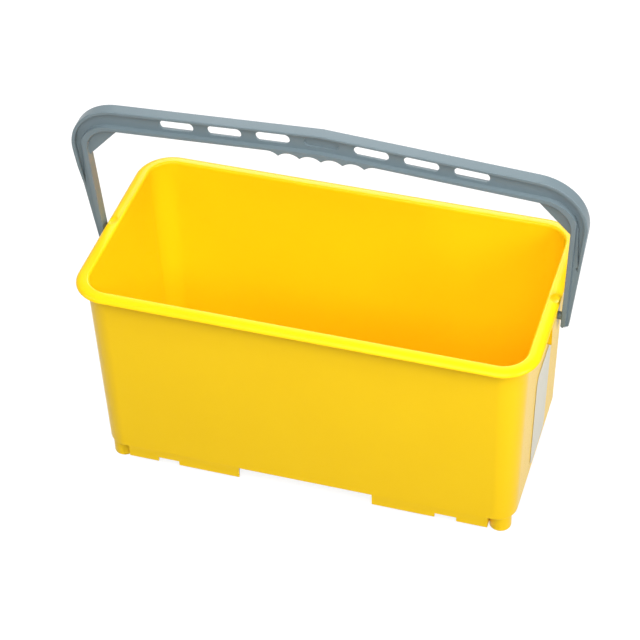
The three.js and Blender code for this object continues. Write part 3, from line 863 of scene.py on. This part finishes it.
def arm_step(side, face, start, stop, level_end, rise):
    """A step in one face of an arm: level up to a height, then rising to the surface."""
    x0, x1 = across(side, start, stop)
    z0, z1 = across(face, HANDLE_DEPTH / 2 - ARM_RECESS, HANDLE_DEPTH / 2 + OVERRUN)
    reach = rise * (1 + OVERRUN / ARM_RECESS)
    step = block((x0, -ARM_BELOW_PIVOT - OVERRUN, z0), (x1, level_end + reach, z1))
    open_edit(step, "EDGE")
    floor_z = face * (HANDLE_DEPTH / 2 - ARM_RECESS)
    end_y = level_end + reach
    pick(
        "edges",
        lambda edge: abs(middle(edge).z - floor_z) < NEAR and middle(edge).y > end_y - NEAR,
    )
    bpy.ops.transform.translate(value=(0.0, -reach, 0.0))
    close_edit()
    step.rotation_euler = (0.0, 0.0, -side * ARM_INNER_SPLAY)
    step.location = (side * (ARM_INNER_FACE + ARM_STRIP_WIDTH), 0.0, 0.0)
    place_in_mesh(step)
    return step


def cut_channels(handle):
    half_web, half_depth = WEB_THICKNESS / 2, HANDLE_DEPTH / 2
    end = ARM_CHANNEL_END
    ground_top = bend_corner(bottom_edge, inner_edge)[1] - BEND_INNER_RADIUS / 2
    ground_width = outer_edge(end, FLANGE_THICKNESS) - inner_edge(end, ARM_STRIP_WIDTH) + BITE / 2
    for face in SIDES:
        z0, z1 = across(face, half_web, half_depth + OVERRUN)
        combine(handle, draw_slab(channel_outline(), z0, z1), "DIFFERENCE")
        for side in SIDES:
            ground = arm_step(side, face, 0.0, ground_width, ground_top, 0.0)
            combine(handle, ground, "DIFFERENCE")
            fade = arm_step(side, face, ground_width / 2, 2 * ARM_WIDTH, end, ARM_FADE_LENGTH)
            combine(handle, fade, "DIFFERENCE")


cut_channels(handle_piece)
say(handle_piece)


# %% Webs in the bends
def make_bend_web(side):
    corner_x, corner_y = bend_corner(bottom_edge, inner_edge)
    bite = FLANGE_THICKNESS / 2
    bar_x = corner_x - BEND_WEB_REACH
    arm_y = corner_y - BEND_WEB_REACH
    corners = [
        (bar_x, bottom_edge(bar_x) + bite, 0.0),
        (bar_x, bottom_edge(bar_x), 0.0),
        (inner_edge(arm_y), arm_y, 0.0),
        (inner_edge(arm_y) + bite, arm_y, 0.0),
        (corner_x + bite, corner_y + bite, BEND_INNER_RADIUS - bite),
    ]
    mirrored = [(side * x, y, radius) for x, y, radius in corners]
    return draw_slab(mirrored, -BEND_WEB_THICKNESS / 2, BEND_WEB_THICKNESS / 2)


for side in SIDES:
    combine(handle_piece, make_bend_web(side), "UNION")
say(handle_piece)

# %% Slots
SLOT_LENGTH = 38 * MM
SLOT_HEIGHT = 12 * MM
SLOT_PITCH = 53.9 * MM
SLOTS_EACH_SIDE = 3
SLOT_END_FLAT = 1 * MM
BLIND_SLOT_DEPTH = 1.8 * MM


def make_slot(index):
    """A cutting tool with round ends, turned to lie along the crowned bar."""
    half_length, radius = SLOT_LENGTH / 2, SLOT_HEIGHT / 2 - SLOT_END_FLAT / 2
    low = WEB_THICKNESS / 2 - BLIND_SLOT_DEPTH if index == 0 else -WEB_THICKNESS
    slot = draw_slab(
        [
            (x, y, radius)
            for x, y in (
                (-half_length, -SLOT_HEIGHT / 2),
                (half_length, -SLOT_HEIGHT / 2),
                (half_length, SLOT_HEIGHT / 2),
                (-half_length, SLOT_HEIGHT / 2),
            )
        ],
        low,
        WEB_THICKNESS,
    )
    centre_x = index * SLOT_PITCH
    turn = -math.copysign(BAR_CROWN, index) if index else 0.0
    slot.rotation_euler = (0.0, 0.0, turn)
    slot.location = (centre_x, (top_edge(abs(centre_x)) + bottom_edge(abs(centre_x))) / 2, 0.0)
    place_in_mesh(slot)
    return slot


for index in range(-SLOTS_EACH_SIDE, SLOTS_EACH_SIDE + 1):
    combine(handle_piece, make_slot(index), "DIFFERENCE")
say(handle_piece)

# %% Soften the edges and notch the arms' ends
HANDLE_SOFT_ROUND = 0.4 * MM
HANDLE_SHARP_ANGLE = math.radians(35)
ARM_END_NOTCH = 2.6 * MM
ARM_END_NOTCH_RADIUS = 1.4 * MM
ARM_END_NOTCH_SIDES = 24


def make_end_notch(side):
    """A cutting tool that leaves two lobes at the foot of an arm."""
    low = -ARM_BELOW_PIVOT
    centre_x = side * (outer_edge(low) + inner_edge(low)) / 2
    centre_y = low + ARM_END_NOTCH - ARM_END_NOTCH_RADIUS
    return round_bar(
        (centre_x, centre_y, 0.0),
        ARM_END_NOTCH_RADIUS,
        2 * HANDLE_DEPTH,
        sides=ARM_END_NOTCH_SIDES,
    )


soften(handle_piece, HANDLE_SOFT_ROUND, HANDLE_SHARP_ANGLE)
for side in SIDES:
    combine(handle_piece, make_end_notch(side), "DIFFERENCE")
say(handle_piece)

# %% [markdown]
# The snap pegs
# A peg stands on the inside of each arm. It is a plain round pin that turns in the tub's hole, with
# a wider head that is slit so that it can spring through. The head is a short round bar whose end
# is pulled out and made smaller, which leaves the cone that eases it in.

# %% Pegs
PEG_RADIUS = 4.6 * MM
PEG_CLEARANCE = 0.3 * MM
PEG_HEAD_GROWTH = 1.6 * MM
PEG_HEAD_LENGTH = 4.6 * MM
PEG_SLIT = 1.8 * MM
HEAD_START = HOUSING_FACE - HOUSING_WALL - PEG_CLEARANCE


def make_peg(side):
    root = ARM_INNER_FACE + FLANGE_THICKNESS / 2
    tip = HEAD_START - PEG_HEAD_LENGTH
    neck = HEAD_START - PEG_HEAD_GROWTH
    head_radius = PEG_RADIUS + PEG_HEAD_GROWTH
    pin = round_bar((side * (root + neck) / 2, 0.0, 0.0), PEG_RADIUS, root - neck, ALONG_X)
    head_middle = (side * (HEAD_START + neck) / 2, 0.0, 0.0)
    head = round_bar(head_middle, head_radius, HEAD_START - neck, ALONG_X)
    open_edit(head, "FACE")
    pick("faces", lambda face: abs(middle(face).x) < neck + NEAR)
    pull = (side * (tip - neck), 0.0, 0.0)
    bpy.ops.mesh.extrude_region_move(TRANSFORM_OT_translate={"value": pull})
    smaller = PEG_RADIUS / head_radius
    bpy.ops.transform.resize(value=(1.0, smaller, smaller), center_override=(side * tip, 0.0, 0.0))
    close_edit()
    combine(pin, head, "UNION")
    x0, x1 = across(side, tip - OVERRUN, HOUSING_FACE)
    wide = head_radius + OVERRUN
    combine(pin, block((x0, -wide, -PEG_SLIT / 2), (x1, wide, PEG_SLIT / 2)), "DIFFERENCE")
    return pin


for side in SIDES:
    combine(handle_piece, make_peg(side), "UNION")
say(handle_piece)

# %% Stand the handle up
HANDLE_MERGE = 0.002 * MM
tidy_mesh(handle_piece, HANDLE_MERGE)
shade(handle_piece)
handle_piece.rotation_euler = (math.pi / 2 + HANDLE_LEAN, 0.0, 0.0)
handle_piece.location = (0.0, 0.0, PIVOT_HEIGHT)
place_in_mesh(handle_piece)
dress(handle_piece, grey_plastic)
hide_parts("bail_handle")
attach(handle_piece, "handle")
say(handle_piece)

# %% [markdown]
# Floor and light
# The photograph is a cut-out on white. A floor and a world that show white to the camera and to
# reflections give the same, while the floor still takes a soft shadow. To all other rays the floor
# is a matte grey and the world is dim, so that the light on the object comes from five soft boxes.
# They hang overhead, in front, at both sides with the right one stronger, and behind.

# %% Floor
FLOOR_SIZE = 12.0
FLOOR_MATTE = "#8C8C8C"
FLOOR_GLOW = 0.85
FLOOR_SHADOW_SHARE = 0.22


def white_rays(tree):
    """1 for rays that show the background: from the camera, from gloss and through glass."""
    path = add_node(tree, "ShaderNodeLightPath")
    seen = path.outputs["Is Camera Ray"]
    for kind in ("Is Glossy Ray", "Is Transmission Ray"):
        seen = add_node(
            tree, "ShaderNodeMath", {"operation": "MAXIMUM"}, {0: seen, 1: path.outputs[kind]}
        ).outputs["Value"]
    return seen


def make_floor():
    bpy.ops.mesh.primitive_plane_add(size=FLOOR_SIZE, location=(0, 0, 0))
    floor = bpy.context.object
    floor.name = "studio_floor"
    material, tree = new_material("studio_floor_white")
    matte = add_node(tree, "ShaderNodeBsdfDiffuse", inputs={"Color": hex_colour(FLOOR_MATTE)})
    shadow = add_node(
        tree,
        "ShaderNodeBsdfDiffuse",
        inputs={"Color": (FLOOR_SHADOW_SHARE, FLOOR_SHADOW_SHARE, FLOOR_SHADOW_SHARE, 1.0)},
    )
    glow = add_node(tree, "ShaderNodeEmission", inputs={"Strength": FLOOR_GLOW})
    shown = add_node(tree, "ShaderNodeAddShader")
    tree.links.new(shadow.outputs["BSDF"], shown.inputs[0])
    tree.links.new(glow.outputs["Emission"], shown.inputs[1])
    mix = add_node(tree, "ShaderNodeMixShader", inputs={"Fac": white_rays(tree)})
    tree.links.new(matte.outputs["BSDF"], mix.inputs[1])
    tree.links.new(shown.outputs["Shader"], mix.inputs[2])
    add_node(tree, "ShaderNodeOutputMaterial", inputs={"Surface": mix.outputs["Shader"]})
    floor.data.materials.append(material)
    print("floor:", FLOOR_SIZE, "m square")


make_floor()

# %% World
WORLD_LIGHT = 0.13


def make_world():
    world = bpy.data.worlds.new("studio_world")
    bpy.context.scene.world = world
    world.use_nodes = True
    tree = world.node_tree
    tree.nodes.clear()
    dim = add_node(tree, "ShaderNodeBackground", inputs={"Strength": WORLD_LIGHT})
    white = add_node(tree, "ShaderNodeBackground", inputs={"Strength": 1.0})
    mix = add_node(tree, "ShaderNodeMixShader", inputs={"Fac": white_rays(tree)})
    for socket, background in ((1, dim), (2, white)):
        background.inputs["Color"].default_value = (1.0, 1.0, 1.0, 1.0)
        tree.links.new(background.outputs["Background"], mix.inputs[socket])
    add_node(tree, "ShaderNodeOutputWorld", inputs={"Surface": mix.outputs["Shader"]})


make_world()
print("world light:", WORLD_LIGHT)

# %% Lamps
BUCKET_MIDDLE = (0.0, 0.0, 0.2)


def soft_box(name, place, size, power):
    """A rectangular area lamp at a place, turned to look at the bucket."""
    lamp_data = bpy.data.lights.new(name, "AREA")
    lamp_data.shape = "RECTANGLE"
    lamp_data.size, lamp_data.size_y = size
    lamp_data.energy = power
    lamp = bpy.data.objects.new(name, lamp_data)
    bpy.context.scene.collection.objects.link(lamp)
    lamp.location = place
    look = Vector(BUCKET_MIDDLE) - Vector(place)
    lamp.rotation_euler = look.to_track_quat("-Z", "Y").to_euler()
    print(name, power, "W")


soft_box("soft_box_overhead", place=(0.1, -0.9, 2.2), size=(1.6, 0.9), power=16.0)
soft_box("soft_box_front", place=(0.3, -1.6, 1.7), size=(1.6, 0.8), power=31.0)
soft_box("soft_box_right", place=(2.0, -0.7, 1.4), size=(0.8, 1.2), power=36.0)
soft_box("soft_box_left", place=(-1.9, -1.0, 1.5), size=(0.8, 1.2), power=11.0)
soft_box("soft_box_back", place=(-0.4, 2.0, 1.4), size=(1.4, 0.8), power=38.0)

bpy.context.scene.view_settings.view_transform = "Standard"
